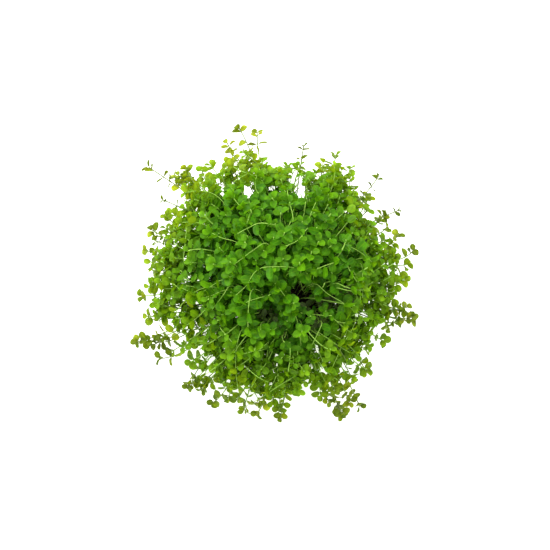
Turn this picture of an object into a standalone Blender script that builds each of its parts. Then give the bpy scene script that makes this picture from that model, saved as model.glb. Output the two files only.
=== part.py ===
"""Micranthemum: a clump of thin creeping stems with opposite round leaves, on its plug of growing medium.

The origin is the centre of the plug's underside, +Z is up and -Y is the front. Lengths are in metres.
"""

import math
import random

import bmesh
import bpy
from mathutils import Vector, noise
from mathutils.bvhtree import BVHTree

MM = 0.001
UP = Vector((0, 0, 1))
SEED = 7

# The plug of growing medium, a tapered block as it comes out of a small net pot.
PLUG_HEIGHT = 36 * MM
PLUG_TOP_RADIUS = 28 * MM
PLUG_BASE_RADIUS = 23 * MM
PLUG_EDGE = 2.2 * MM
PLUG_LUMP = 0.9 * MM
PLUG_LUMP_PITCH = 9 * MM
PLUG_SIDES = 22
PLUG_LEVELS = (0.0, 0.06, 0.45, 0.92, 1.0)

# Stems and leaves.
STEM_WIDTH = 1.1 * MM
STEM_SPACING = 2.4 * MM
LEAF_LENGTH = 6.4 * MM
LEAF_WIDTH = 5.6 * MM
LEAF_THICKNESS = 0.7 * MM
PETIOLE_THICKNESS = 0.8 * MM
LEAF_TIP_SHARE = 0.5
LEAF_WIDEST_AT = 0.52
CLEARANCE = 0.35 * MM
FLOOR_CLEARANCE = 0.8 * MM

# Distance of each leaf pair below the stem's tip, and its size as a share of the full leaf. A crown stem has fewer.
PAIRS = ((0.6 * MM, 0.62), (4.4 * MM, 0.86), (11.5 * MM, 1.0), (20.5 * MM, 1.0))
CROWN_PAIRS = 3
# Where a stem's bare lower part bends, as shares of its length.
TRAILING_BENDS = (0.0, 0.3, 0.64, 1.0)
CROWN_BENDS = (0.0, 0.5, 1.0)
# The ways a leaf may stand where its neighbours leave it little room: forward tilt in degrees, and size.
LEAF_STANDS = ((24, 1.0), (48, 1.0), (2, 1.0), (36, 0.8), (62, 0.8), (-18, 0.8))

# The camera of the photograph: straight in front, 72 degrees up, one metre away.
CAMERA_TARGET = Vector((-7, 6, 50)) * MM
CAMERA_RISE = math.radians(72)
CAMERA_DISTANCE = 1.0
CAMERA_LENS = 119.0
CAMERA_SENSOR = 36.0
BACKWARD = Vector((0, -math.cos(CAMERA_RISE), math.sin(CAMERA_RISE)))
UPWARD = Vector((0, math.sin(CAMERA_RISE), math.cos(CAMERA_RISE)))
EYE = CAMERA_TARGET + BACKWARD * CAMERA_DISTANCE
# The photograph's width in pixels, its middle, and how far apart two of its lines of sight are at one metre.
PHOTO_SIDE = 550
PHOTO_MIDDLE = PHOTO_SIDE / 2
PIXEL = CAMERA_SENSOR / CAMERA_LENS / PHOTO_SIDE

# Tips of the stems that trail outwards, anticlockwise from the back left, read by eye: pixel of the photograph,
# height in mm before it is drawn towards the trailing level, and lift of the tip in degrees.
TRAILING_TIPS = (
    ((211, 166, 62, 20), (202, 170, 58, 65), (186, 170, 55, 60), (149, 168, 52, 10), (163, 199, 50, 5)),
    ((171, 215, 52, 60), (151, 229, 46, 20), (151, 262, 42, 60), (142, 296, 36, 5), (147, 317, 32, 30)),
    ((138, 341, 30, 70), (159, 358, 24, 35), (192, 362, 32, 55), (188, 386, 24, 30), (213, 403, 18, 50)),
    ((237, 400, 16, 25), (244, 410, 8, 0), (281, 418, 8, 20), (299, 390, 30, 40), (321, 395, 24, 40)),
    ((341, 414, 20, 45), (359, 407, 10, 10), (368, 370, 30, 40), (383, 341, 32, 50), (414, 319, 30, 45)),
    ((407, 306, 34, 50), (404, 279, 36, 45), (407, 265, 38, 30), (413, 251, 44, 60), (399, 235, 42, 60)),
    ((399, 211, 48, 0), (368, 197, 52, 55), (379, 176, 55, 5), (349, 168, 56, 20), (336, 155, 62, 40)),
    ((304, 146, 68, 15), (257, 132, 64, 18), (239, 129, 66, 20), (227, 142, 60, 25)),
)
TRAILING_LEVEL = 38
TRAILING_SPREAD = 0.6

# Tips of the stems that stand up in the crown, from the middle outwards: pixel, height in mm and lift in degrees.
CROWN_TIPS = (
    ((285, 232, 92, 80), (245, 243, 88, 70), (300, 262, 84, 75), (290, 203, 84, 65), (250, 210, 86, 60)),
    ((330, 213, 80, 60), (345, 240, 80, 55), (230, 262, 82, 60), (205, 215, 74, 45), (368, 268, 66, 45)),
    ((188, 250, 68, 35), (208, 300, 66, 45), (355, 305, 58, 45), (290, 312, 62, 70), (225, 335, 60, 50)),
    ((330, 350, 52, 50), (255, 350, 54, 50)),
)


def sight(px, py, height):
    """The point at this height that the photograph shows at this pixel."""
    ray = UPWARD * ((PHOTO_MIDDLE - py) * PIXEL) - BACKWARD
    ray.x = (px - PHOTO_MIDDLE) * PIXEL
    return EYE + ray * ((height - EYE.z) / ray.z)


def stem_tips(group):
    """Each tip of a group and its lift in radians, with the tip at a whole number of millimetres."""
    tips = []
    for px, py, height, lift in (tip for row in (CROWN_TIPS if group == "crown" else TRAILING_TIPS) for tip in row):
        if group == "trailing":
            height = round(TRAILING_LEVEL + TRAILING_SPREAD * (height - TRAILING_LEVEL))
        spot = sight(px, py, height * MM)
        tips.append((Vector((round(spot.x / MM), round(spot.y / MM), height)) * MM, math.radians(lift)))
    return tips


def turned(bearing, radius, height):
    """A point at this bearing in radians and this radius from the plug's axis."""
    return Vector((radius * math.cos(bearing), radius * math.sin(bearing), height))


def bezier(points, count):
    """Points along the cubic curve through its four control points."""
    a, b, c, d = points
    curve = []
    for i in range(count + 1):
        t = i / count
        s = 1 - t
        curve.append(a * s**3 + b * (3 * s * s * t) + c * (3 * s * t * t) + d * t**3)
    return curve


def course_of(base, tip, lift, rise, sway):
    """The line of a stem that leaves the plug at its rise, arches over, and ends at its lift."""
    flat = Vector((tip.x - base.x, tip.y - base.y, 0)).normalized()
    side = Vector((-flat.y, flat.x, 0))
    start = flat * math.cos(rise) + UP * math.sin(rise)
    end = (flat * math.cos(lift) + side * sway + UP * math.sin(lift)).normalized()
    span = (tip - base).length
    controls = (base, base + start * span * 0.46, tip - end * span * 0.34, tip)
    return bezier(controls, 64)


def is_clear_of(course, others):
    """Whether every point of the course is a stem's spacing away from the others, which all start at the plug."""
    return all((p - q).length > STEM_SPACING for other in others for p in course[::2] for q in other[::2])


def grow_courses():
    """One line for each stem, crown first. A stem that would touch another starts a little to one side."""
    draw = random.Random(SEED)
    courses = []
    for group in ("crown", "trailing"):
        for number, (tip, lift) in enumerate(stem_tips(group), 1):
            bearing = math.atan2(tip.y, tip.x) + draw.uniform(-0.2, 0.2)
            inner, outer = (4, 15) if group == "crown" else (16, 25)
            radius = draw.uniform(inner, outer) * MM
            rise = math.radians(draw.uniform(74, 84) if group == "crown" else draw.uniform(56, 76))
            sway = draw.uniform(-0.3, 0.3)
            for step in range(60):
                swing = 0.11 * ((step + 1) // 2) * (-1) ** step
                base = turned(bearing + swing, radius, PLUG_HEIGHT + CLEARANCE)
                course = course_of(base, tip, lift, rise, sway + 0.02 * step)
                if is_clear_of(course, [other for _, other in courses]):
                    break
            courses.append((f"{group}_shoot_{number:02d}", course))
    return courses


def frames_along(course):
    """At each point of the course: the point, its direction, and two directions across it that don't twist."""
    across = (course[1] - course[0]).orthogonal().normalized()
    frames = []
    for i, point in enumerate(course):
        ahead = (course[min(i + 1, len(course) - 1)] - course[max(i - 1, 0)]).normalized()
        across = (across - ahead * across.dot(ahead)).normalized()
        frames.append((point, ahead, across, ahead.cross(across)))
    return frames


class Stem:
    """One stem's rings of four corners, from its base to its tip, and which rings hold a leaf pair between them."""

    def __init__(self, course, bends, pairs):
        self.lengths = [0.0]
        for a, b in zip(course, course[1:]):
            self.lengths.append(self.lengths[-1] + (b - a).length)
        self.frames = frames_along(course)
        self.rings = []
        self.pairs = []
        length = self.lengths[-1]
        for share in bends:
            self.add_ring(share * (length - pairs[-1][0]) * 0.86)
        for below, size in reversed(pairs):
            self.pairs.append((len(self.rings), size))
            self.add_ring(length - below - PETIOLE_THICKNESS / 2)
            self.add_ring(length - below + PETIOLE_THICKNESS / 2)

    def frame_at(self, place):
        """The frame at this distance from the base."""
        i = 1
        while i < len(self.lengths) - 1 and self.lengths[i] < place:
            i += 1
        low, high = self.lengths[i - 1], self.lengths[i]
        share = (place - low) / (high - low)
        return [a.lerp(b, share) for a, b in zip(self.frames[i - 1], self.frames[i])]

    def add_ring(self, place):
        point, _, across, over = self.frame_at(place)
        half = STEM_WIDTH / 2
        corners = ((1, 1), (-1, 1), (-1, -1), (1, -1))
        self.rings.append([point + across * (half * a) + over * (half * b) for a, b in corners])

    def side(self, ring, corner):
        """The four corners between a ring and the next, on one side of the stem, and the way that side faces."""
        following = (corner + 1) % 4
        low, high = self.rings[ring], self.rings[ring + 1]
        corners = [low[corner], low[following], high[following], high[corner]]
        ahead = (high[corner] - low[corner]).normalized()
        along = (low[following] - low[corner]).normalized()
        return corners, ahead, along, along.cross(ahead)

    def tube(self):
        """The bare stem as points and faces, for testing what comes near it."""
        points = [corner for ring in self.rings for corner in ring]
        faces = []
        for ring in range(len(self.rings) - 1):
            for corner in range(4):
                following = (corner + 1) % 4
                low, high = 4 * ring, 4 * ring + 4
                faces.append((low + corner, low + following, high + following, high + corner))
        return points, faces


def grow_stem(name, course):
    """The stem on this course, with the bends and leaf pairs of its group."""
    if name.startswith("crown"):
        return Stem(course, CROWN_BENDS, PAIRS[:CROWN_PAIRS])
    return Stem(course, TRAILING_BENDS, PAIRS)


def leaf_points(side, tilt, size, margin=0.0):
    """A leaf's widest ring of four points and the two ends of its blunt tip, growing from one side of a stem."""
    foot, ahead, along, outward = side
    root = sum(foot, Vector()) / 4
    forward = outward * math.cos(tilt) + ahead * math.sin(tilt)
    thick = forward.cross(along)
    if thick.dot(ahead) < 0:
        thick.negate()
    half_width = LEAF_WIDTH * size / 2 + margin
    half_thickness = LEAF_THICKNESS / 2 + margin
    length = LEAF_LENGTH * size + margin
    middle = root + forward * (length * LEAF_WIDEST_AT)
    tip = root + forward * length - thick * (0.08 * length)
    corners = ((-1, -1), (1, -1), (1, 1), (-1, 1))
    ring = [middle + along * (a * half_width) + thick * (b * half_thickness) for a, b in corners]
    ends = [tip - along * (half_width * LEAF_TIP_SHARE), tip + along * (half_width * LEAF_TIP_SHARE)]
    return ring, ends


def leaf_faces(root, ring, ends):
    """The faces of a leaf between the indices of its root, its widest ring and its tip."""
    faces = [(root[i], root[(i + 1) % 4], ring[(i + 1) % 4], ring[i]) for i in range(4)]
    left, right = ends
    faces.append((ring[0], ring[1], right, left))
    faces.append((ring[2], ring[3], left, right))
    faces.append((ring[1], ring[2], right))
    faces.append((ring[3], ring[0], left))
    return faces


def tree_of(points, faces):
    """The search tree of a shape, with a sphere around it for a quick first test."""
    centre = sum(points, Vector()) / len(points)
    radius = max((p - centre).length for p in points)
    return centre, radius, BVHTree.FromPolygons(points, faces)


def meets(one, other):
    """Whether two shapes' surfaces cross."""
    near = (one[0] - other[0]).length < one[1] + other[1]
    return near and bool(one[2].overlap(other[2]))


def place_leaves(stems):
    """Gives each leaf the first stand that keeps clear of every other stem and leaf. One with no room is left off."""
    stem_trees = [tree_of(*stem.tube()) for stem in stems]
    leaf_trees = []
    placed = [{} for _ in stems]
    for level in range(len(PAIRS)):
        for index, stem in enumerate(stems):
            if level >= len(stem.pairs):
                continue
            ring, size = stem.pairs[-1 - level]
            for corner in ((0, 2) if level % 2 else (1, 3)):
                side = stem.side(ring, corner)
                for tilt, share in LEAF_STANDS:
                    tilt = math.radians(tilt)
                    wide, ends = leaf_points(side, tilt, size * share, CLEARANCE)
                    root = [p + side[3] * CLEARANCE for p in side[0]]
                    faces = leaf_faces((0, 1, 2, 3), (4, 5, 6, 7), (8, 9))
                    trial = tree_of(root + wide + ends, faces)
                    lowest = min(p.z for p in wide + ends)
                    others = stem_trees[:index] + stem_trees[index + 1 :] + leaf_trees
                    if lowest < FLOOR_CLEARANCE or any(meets(trial, other) for other in others):
                        continue
                    wide, ends = leaf_points(side, tilt, size * share)
                    leaf_trees.append(tree_of(side[0] + wide + ends, faces))
                    placed[index][ring, corner] = (wide, ends)
                    break
    return placed


def shoot_mesh(name, stem, leaves):
    """One shoot as a closed mesh: its four-sided stem with each leaf drawn out of the stem's side."""
    shape = bmesh.new()
    rings = [[shape.verts.new(corner) for corner in ring] for ring in stem.rings]
    shape.faces.new(rings[0])
    shape.faces.new(rings[-1])
    for ring in range(len(rings) - 1):
        for corner in range(4):
            following = (corner + 1) % 4
            root = [rings[ring][corner], rings[ring][following], rings[ring + 1][following], rings[ring + 1][corner]]
            if (ring, corner) not in leaves:
                shape.faces.new(root)
                continue
            wide, ends = ([shape.verts.new(p) for p in points] for points in leaves[ring, corner])
            for face in leaf_faces(root, wide, ends):
                shape.faces.new(face)
    bmesh.ops.triangulate(shape, faces=shape.faces[:])
    bmesh.ops.recalc_face_normals(shape, faces=shape.faces[:])
    mesh = bpy.data.meshes.new(name)
    shape.to_mesh(mesh)
    shape.free()
    return mesh


def plug_mesh(name):
    """The plug: a tapered, slightly lumpy block with a worn top edge, flat above and below."""
    shape = bmesh.new()
    rings = []
    for share in PLUG_LEVELS:
        height = PLUG_HEIGHT * share
        wall = PLUG_BASE_RADIUS + (PLUG_TOP_RADIUS - PLUG_BASE_RADIUS) * share
        wall -= PLUG_EDGE * (share in (PLUG_LEVELS[0], PLUG_LEVELS[-1]))
        ring = []
        for side in range(PLUG_SIDES):
            point = turned(2 * math.pi * side / PLUG_SIDES, wall, height)
            lump = PLUG_LUMP * noise.noise(point / PLUG_LUMP_PITCH)
            ring.append(shape.verts.new(turned(2 * math.pi * side / PLUG_SIDES, wall + lump, height)))
        rings.append(ring)
    for low, high in zip(rings, rings[1:]):
        bmesh.ops.bridge_loops(shape, edges=loop_edges(shape, low) + loop_edges(shape, high))
    shape.faces.new(list(reversed(rings[0])))
    shape.faces.new(rings[-1])
    bmesh.ops.recalc_face_normals(shape, faces=shape.faces[:])
    mesh = bpy.data.meshes.new(name)
    shape.to_mesh(mesh)
    shape.free()
    return mesh


def loop_edges(shape, ring):
    """The edges around a ring of vertices, made where they are missing."""
    edges = []
    for a, b in zip(ring, ring[1:] + ring[:1]):
        edges.append(shape.edges.get((a, b)) or shape.edges.new((a, b)))
    return edges


def material(name, colour, roughness):
    made = bpy.data.materials.new(name)
    made.use_nodes = True
    surface = made.node_tree.nodes["Principled BSDF"]
    surface.inputs["Base Color"].default_value = (*colour, 1)
    surface.inputs["Roughness"].default_value = roughness
    surface.inputs["Metallic"].default_value = 0
    return made


def add_object(name, mesh, finish):
    made = bpy.data.objects.new(name, mesh)
    mesh.materials.append(finish)
    bpy.context.scene.collection.objects.link(made)
    return made


def main():
    for old in list(bpy.data.objects):
        bpy.data.objects.remove(old)
    medium = material("growing_medium", (0.030, 0.020, 0.012), 0.95)
    foliage = material("foliage", (0.085, 0.240, 0.015), 0.45)
    add_object("growing_medium", plug_mesh("growing_medium"), medium)
    courses = grow_courses()
    stems = [grow_stem(name, course) for name, course in courses]
    for (name, _), stem, leaves in zip(courses, stems, place_leaves(stems)):
        add_object(name, shoot_mesh(name, stem, leaves), foliage)


main()
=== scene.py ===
"""Looks of the micranthemum clump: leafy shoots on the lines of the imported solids, the undergrowth between
them, the plug of growing medium, and a plain pale stage.

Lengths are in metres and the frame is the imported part's.
"""

import math
import random

import bpy
import numpy as np
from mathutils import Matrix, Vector, noise

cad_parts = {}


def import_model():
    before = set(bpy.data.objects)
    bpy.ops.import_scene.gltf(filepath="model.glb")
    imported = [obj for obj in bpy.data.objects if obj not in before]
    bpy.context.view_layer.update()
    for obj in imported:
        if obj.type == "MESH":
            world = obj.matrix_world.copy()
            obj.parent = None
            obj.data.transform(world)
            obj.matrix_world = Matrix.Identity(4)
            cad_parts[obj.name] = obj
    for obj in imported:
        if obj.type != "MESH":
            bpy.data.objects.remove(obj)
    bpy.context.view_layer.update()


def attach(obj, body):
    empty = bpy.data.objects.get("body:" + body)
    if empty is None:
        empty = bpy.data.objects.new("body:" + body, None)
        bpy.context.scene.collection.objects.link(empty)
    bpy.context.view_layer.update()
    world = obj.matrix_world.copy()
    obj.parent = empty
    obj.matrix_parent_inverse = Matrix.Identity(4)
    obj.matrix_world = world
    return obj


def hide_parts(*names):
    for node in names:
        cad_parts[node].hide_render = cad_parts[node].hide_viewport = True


MM = 0.001
UP = Vector((0, 0, 1))
SEED = 7

# The camera of the photograph: straight in front, 72 degrees up, one metre away.
CAMERA_TARGET = Vector((-7, 6, 50)) * MM
CAMERA_RISE = math.radians(72)
CAMERA_DISTANCE = 1.0
CAMERA_LENS = 119.0
CAMERA_SENSOR = 36.0
BACKWARD = Vector((0, -math.cos(CAMERA_RISE), math.sin(CAMERA_RISE)))
UPWARD = Vector((0, math.sin(CAMERA_RISE), math.cos(CAMERA_RISE)))
EYE = CAMERA_TARGET + BACKWARD * CAMERA_DISTANCE
# The photograph's width in pixels, its middle, and how far apart its lines of sight are at one metre.
PHOTO_SIDE = 550
PHOTO_MIDDLE = PHOTO_SIDE / 2
PIXEL = CAMERA_SENSOR / CAMERA_LENS / PHOTO_SIDE

# The part's own sizes, as its source has them.
PLUG_HEIGHT = 36 * MM
PLUG_TOP_RADIUS = 28 * MM
PLUG_BASE_RADIUS = 23 * MM
STEM_SPACING = 2.4 * MM
CLEARANCE = 0.35 * MM
FLOOR_CLEARANCE = 0.8 * MM
# How far from the plug's axis the stems of each group start in mm, and how steeply in degrees.
FOOT_RADII = {"crown": (4, 15), "trailing": (16, 25)}
FOOT_RISES = {"crown": (74, 84), "trailing": (56, 76)}
# How strongly a stem's start and its tip pull on its line, as shares of its span, and points on the line.
START_PULL = 0.46
TIP_PULL = 0.34
COURSE_POINTS = 64
# How often a stem's start is moved away from others, and by how much on its bearing and its sway.
START_TRIES = 60
START_STEP = 0.11
SWAY_STEP = 0.02

# Tips of the stems that trail outwards, anticlockwise from the back left, read one by one: pixel of the
# photograph, height in mm before it is drawn towards the trailing level, and lift of the tip in degrees.
TRAILING_TIPS = (
    (211, 166, 62, 20), (202, 170, 58, 65), (186, 170, 55, 60), (149, 168, 52, 10), (163, 199, 50, 5),
    (171, 215, 52, 60), (151, 229, 46, 20), (151, 262, 42, 60), (142, 296, 36, 5), (147, 317, 32, 30),
    (138, 341, 30, 70), (159, 358, 24, 35), (192, 362, 32, 55), (188, 386, 24, 30), (213, 403, 18, 50),
    (237, 400, 16, 25), (244, 410, 8, 0), (281, 418, 8, 20), (299, 390, 30, 40), (321, 395, 24, 40),
    (341, 414, 20, 45), (359, 407, 10, 10), (368, 370, 30, 40), (383, 341, 32, 50), (414, 319, 30, 45),
    (407, 306, 34, 50), (404, 279, 36, 45), (407, 265, 38, 30), (413, 251, 44, 60), (399, 235, 42, 60),
    (399, 211, 48, 0), (368, 197, 52, 55), (379, 176, 55, 5), (349, 168, 56, 20), (336, 155, 62, 40),
    (304, 146, 68, 15), (257, 132, 64, 18), (239, 129, 66, 20), (227, 142, 60, 25),
)
TRAILING_LEVEL = 38
TRAILING_SPREAD = 0.6

# Tips of the stems that stand up in the crown, from the middle outwards: pixel, height in mm and lift.
CROWN_TIPS = (
    (285, 232, 92, 80), (245, 243, 88, 70), (300, 262, 84, 75), (290, 203, 84, 65), (250, 210, 86, 60),
    (330, 213, 80, 60), (345, 240, 80, 55), (230, 262, 82, 60), (205, 215, 74, 45), (368, 268, 66, 45),
    (188, 250, 68, 35), (208, 300, 66, 45), (355, 305, 58, 45), (290, 312, 62, 70), (225, 335, 60, 50),
    (330, 350, 52, 50), (255, 350, 54, 50),
)

# The thin ones among the trailing stems, with leaves at their ends alone: size of the leaves, number of
# pairs, how far apart these are, and their tone, which is below the 0 to 1 of the others to make them dark.
LONE_SHOOTS = {
    "trailing_shoot_04": (1.15, 5, 0.8, -0.2),
    "trailing_shoot_05": (0.8, 3, 1.2, -0.6),
    "trailing_shoot_31": (0.85, 3, 1.2, -0.5),
    "trailing_shoot_33": (0.9, 4, 1.2, -0.5),
    "trailing_shoot_36": (0.95, 4, 1.2, -0.6),
    "trailing_shoot_38": (1.15, 5, 1.35, -0.4),
}

# Side shoots that show at the outline beside the main ones, by the pixel where each ends.
OUTLINE_SPRIGS = (
    (222, 175), (184, 208), (166, 216), (170, 238), (156, 241), (146, 250), (160, 255), (149, 286),
    (162, 300), (163, 337), (171, 352), (183, 347), (198, 386), (208, 384), (228, 399), (150, 340),
    (257, 414), (266, 392), (282, 408), (330, 402), (350, 402), (370, 224), (392, 244), (397, 322),
    (396, 307), (395, 254), (387, 228), (384, 213), (323, 162), (288, 166), (400, 283), (393, 292),
    (272, 402), (402, 312), (366, 372), (200, 381), (192, 385), (305, 176), (186, 169), (174, 176),
    (366, 200), (368, 210), (380, 220), (384, 240), (152, 282), (155, 302), (156, 254), (350, 176),
    (352, 378), (158, 314), (152, 345), (232, 152), (202, 390), (166, 228), (346, 360), (262, 162),
    (300, 165), (154, 236), (152, 270), (412, 317), (367, 335), (369, 347), (279, 412), (304, 381),
    (310, 378),
)

# The outline of the dense foliage in the photograph, in its pixels, clockwise from the left.
BODY_OUTLINE = (
    (150, 270), (160, 262), (163, 250), (171, 244), (171, 222), (181, 216), (187, 207), (183, 188),
    (174, 182), (177, 171), (187, 167), (194, 178), (207, 182), (226, 190), (222, 170), (230, 158),
    (245, 156), (252, 162), (262, 160), (270, 169), (286, 167), (306, 173), (318, 169), (330, 165),
    (343, 168), (350, 184), (358, 194), (359, 217), (370, 224), (378, 240), (384, 250), (397, 256),
    (397, 280), (394, 296), (388, 304), (381, 322), (371, 325), (371, 341), (367, 354), (352, 364),
    (345, 377), (338, 383), (322, 388), (310, 378), (302, 380), (300, 390), (280, 396), (270, 397),
    (256, 394), (244, 384), (234, 392), (220, 385), (216, 369), (202, 374), (193, 370), (200, 365),
    (194, 360), (208, 354), (192, 346), (186, 336), (174, 328), (174, 316), (158, 321), (153, 315),
    (158, 306), (153, 300), (157, 284),
)

# The canopy of undergrowth: its middle, the height of its top and rim, how much higher the rim is behind,
# and how the canopy falls away between top and rim.
CANOPY_MIDDLE = Vector((-3, 12, 0)) * MM
CANOPY_TOP = 88 * MM
CANOPY_RIM = 38 * MM
CANOPY_RIM_TILT = 12 * MM
CANOPY_FALL = 1.35
# The side of it whose leaves are painted palest, as painted light falling from that side.
SUNNY_BEARING = math.radians(110)
# How far it reaches past the outline of the dense foliage.
CANOPY_OVERHANG = 8 * MM
# The hollow in the canopy round the bare patches: its middle, how wide and how deep it is.
HOLLOW_MIDDLE = Vector((7, -19, 0)) * MM
HOLLOW_WIDTH = 21 * MM
HOLLOW_DEPTH = 19 * MM
# Each layer: number of shoots, how far below the canopy's top they end, how much that varies, and its
# share of the reach.
LAYERS = ((260, 1 * MM, 4 * MM, 1.0), (190, 10 * MM, 5 * MM, 0.9), (150, 21 * MM, 7 * MM, 0.8))
# Shoots that end just inside the outline: pixels from one to the next, and how far inside.
EDGE_STEP = 5
EDGE_INSET = (0, 7)

# The bare patches of growing medium, as ellipses: middle, half-width and half-height in pixels.
BARE_PATCHES = ((302, 293, 11, 10), (321, 319, 6, 5), (327, 303, 11, 8), (267, 316, 10, 6))
# Gaps in the canopy's top that show the deep shade below it, in the same terms.
DARK_GAPS = (
    (326, 284, 6, 3), (347, 287, 4, 3), (350, 296, 4, 3), (361, 298, 3, 3), (233, 240, 4, 3),
    (251, 236, 3, 4), (209, 252, 4, 3), (261, 240, 3, 3), (288, 250, 3, 4), (284, 221, 2, 2),
    (303, 212, 3, 3), (325, 262, 4, 3), (340, 230, 5, 2), (357, 258, 3, 2), (264, 290, 2, 4),
    (286, 336, 5, 3), (310, 329, 3, 4), (245, 339, 3, 2), (269, 356, 5, 2), (244, 294, 2, 3),
)
# How far below the canopy's top such a gap is kept open.
GAP_DEPTH = 12 * MM
# Openings that show the floor, in the same terms.
OPENINGS = (
    (300, 191, 6, 5), (248, 193, 5, 4), (222, 185, 2, 2), (223, 194, 2, 2), (208, 193, 2, 1),
    (201, 188, 1, 1), (196, 177, 2, 2), (202, 214, 2, 1), (237, 174, 1, 1), (272, 189, 1, 1),
    (291, 181, 2, 1), (294, 174, 2, 1), (301, 180, 2, 1), (318, 176, 1, 1), (308, 199, 2, 1),
    (347, 213, 1, 2), (174, 245, 1, 1), (180, 273, 1, 1), (187, 279, 2, 2), (198, 280, 1, 1),
    (160, 294, 2, 3), (178, 313, 2, 3), (200, 306, 1, 1), (214, 314, 1, 1), (236, 317, 1, 1),
    (208, 327, 1, 1), (196, 335, 1, 1), (201, 347, 2, 1), (212, 360, 4, 3), (207, 375, 4, 3),
    (241, 390, 4, 3), (316, 349, 2, 2), (322, 369, 3, 2), (310, 377, 1, 2), (343, 367, 3, 3),
    (363, 351, 1, 2), (355, 315, 1, 1), (364, 316, 1, 4), (350, 356, 1, 1),
)
# The inner part of the larger ones, which stems bend round.
LARGE_OPENINGS = [(x, y, width - 1, height - 1) for x, y, width, height in OPENINGS if width > 3]
# Shoots that stand over the bare patches: pixel of the tip, height over the plug in mm, size of the leaves,
# and how much painted shade their leaves get.
PATCH_SHOOTS = (
    (294, 303, 34, 0.88, 0.0), (302, 331, 28, 0.92, 0.05), (318, 293, 20, 0.75, 0.3),
    (335, 288, 28, 0.8, 0.1), (326, 311, 18, 0.78, 0.2), (313, 286, 22, 0.7, 0.35),
    (311, 316, 20, 0.72, 0.3),
)
# Dull low ones there: pixel of the tip and height over the plug in mm.
DULL_SHOOTS = (
    (262, 318, 14), (271, 309, 12), (264, 309, 13), (274, 317, 13), (278, 322, 15), (258, 328, 15),
    (268, 327, 12), (347, 300, 16), (341, 291, 13), (348, 292, 17), (344, 286, 16), (339, 305, 12),
    (331, 301, 13), (323, 304, 12), (318, 323, 10), (306, 307, 9), (253, 308, 14),
)

# Long stems that show over the canopy, each by the pixels that it passes, from its tip backwards.
RUNNERS = (
    ((237, 234), (248, 228), (262, 223), (285, 229)), ((230, 268), (240, 260), (252, 251), (266, 243)),
    ((248, 283), (255, 272), (266, 267), (295, 268)), ((286, 246), (298, 240), (308, 228)),
    ((254, 208), (249, 216), (247, 228)), ((193, 217), (187, 228), (185, 246), (184, 262)),
    ((248, 331), (248, 317), (249, 303), (252, 290)), ((279, 288), (288, 301), (297, 320), (301, 345)),
    ((235, 296), (244, 288), (252, 281)), ((237, 310), (247, 302), (262, 297)),
    ((363, 318), (345, 304), (328, 294), (316, 284)), ((356, 292), (346, 290), (336, 288)),
    ((313, 271), (324, 266), (338, 262)), ((357, 282), (350, 271), (344, 262)),
    ((352, 333), (342, 326), (330, 316)), ((312, 345), (318, 333), (322, 322)),
    ((372, 262), (360, 252), (345, 246)), ((352, 205), (342, 214), (330, 226)),
    ((322, 190), (316, 202), (310, 216)), ((287, 190), (290, 204), (293, 218)),
    ((232, 196), (240, 206), (250, 214)), ((210, 232), (222, 238), (236, 242)),
    ((196, 300), (210, 296), (226, 290)), ((205, 330), (216, 322), (230, 312)),
    ((232, 356), (240, 344), (250, 332)), ((288, 372), (290, 358), (290, 344)),
    ((323, 362), (318, 350), (310, 338)), ((355, 352), (345, 342), (332, 334)),
    ((195, 297), (204, 291), (213, 285), (222, 280)), ((212, 310), (218, 302), (224, 294), (230, 286)),
    ((187, 325), (193, 321), (200, 315), (208, 308)), ((206, 345), (213, 341), (220, 336), (229, 330)),
    ((232, 342), (226, 335), (220, 327)), ((240, 355), (250, 352), (262, 350)),
    ((205, 375), (213, 369), (222, 362)), ((243, 408), (262, 397), (280, 385), (297, 374)),
    ((343, 414), (337, 402), (330, 388), (322, 376)),
)
LOOSE_RUNNERS = 40

# How far leaves turn from the stem's own way to the light, from 0 to 1.
CROWN_TURN = (0.15, 0.8)
OUTER_TURN = (0.3, 0.9)
PATCH_TURN = (0.5, 1.0)
# The undergrowth's sectors, each of them one piece.
SECTORS = 8

# Leaves and stems. The lists go from a stem's tip backwards: how far from the tip each pair of leaves grows
# in mm, its size, its tilt towards the tip in degrees, and how young it is.
LEAF_LENGTH = 6.5 * MM
LEAF_BREADTH = 0.71
RIM_LEAF_SIZE = 0.76
RIM_LEAF_BREADTH = 1.18
LEAF_SPACING = 2.0 * MM
# How far a leaf's middle stays from an opening, in pixels of the photograph.
LEAF_CLEARANCE = 2.9
STEM_RADIUS = 0.4 * MM
STEM_SIDES = 5
STEM_STEP = 1.6 * MM
NODE_SWELL = 0.35
NODE_DISTANCES = (0.4, 2.3, 6.6, 11.6, 17.4, 24.2, 32.0, 40.0, 49.0, 58.0)
NODE_SIZES = (0.72, 0.92, 0.99, 1.0, 1.0, 0.97, 0.92, 0.86, 0.8, 0.75)
NODE_TILTS = (34, 20, 14, 10, 8, 5, 3, 2, 0, 0)
NODE_YOUTH = (0.8, 0.5, 0.25, 0.1)

# The plug's bumps, each kind with its height and pitch, and the small things on it.
BUMPS = ((0.9 * MM, 9 * MM), (0.7 * MM, 2.6 * MM), (0.4 * MM, 1.0 * MM))
CRUMBS = 900
ROOTS = 110
# Where the stems that have no solid of their own start, just under the plug's top.
STEM_FOOT = PLUG_HEIGHT - 1 * MM

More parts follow.
